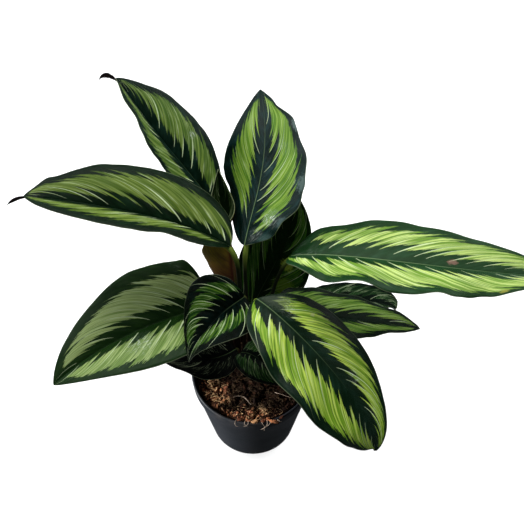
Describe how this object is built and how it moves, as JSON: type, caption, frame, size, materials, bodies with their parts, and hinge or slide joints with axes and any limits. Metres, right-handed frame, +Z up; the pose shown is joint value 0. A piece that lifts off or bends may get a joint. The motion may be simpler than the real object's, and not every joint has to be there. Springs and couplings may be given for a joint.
{
  "type": "potted calathea",
  "caption": "Potted foliage plant: broad striped leaves on thin stalks rising from bark soil in a small tapered nursery pot.",
  "frame": {"origin": "centre of the pot's flat foot, where it stands", "axes": "+Z up along the pot's axis, +X to the right and +Y to the back of the plant, whose front faces -Y"},
  "size_m": [0.4691, 0.2922, 0.3322],
  "materials": {
    "pot_plastic": "matt moulded plastic",
    "soil": "moist bark and coir",
    "leaf": "waxy, striped dark and light green",
    "leaf_young": "waxy, maroon and olive underside"
  },
  "bodies": {
    "root": {"pot": "pot_plastic", "soil": "soil", "leaf_back_left": "leaf", "leaf_left": "leaf", "leaf_back": "leaf", "leaf_right_high": "leaf", "leaf_left_low": "leaf", "leaf_front_left": "leaf", "leaf_front_right": "leaf", "leaf_right": "leaf", "leaf_right_low": "leaf", "leaf_back_right": "leaf", "leaf_young": "leaf_young", "leaf_small_front": "leaf", "leaf_small_left": "leaf"}
  },
  "joints": []
}
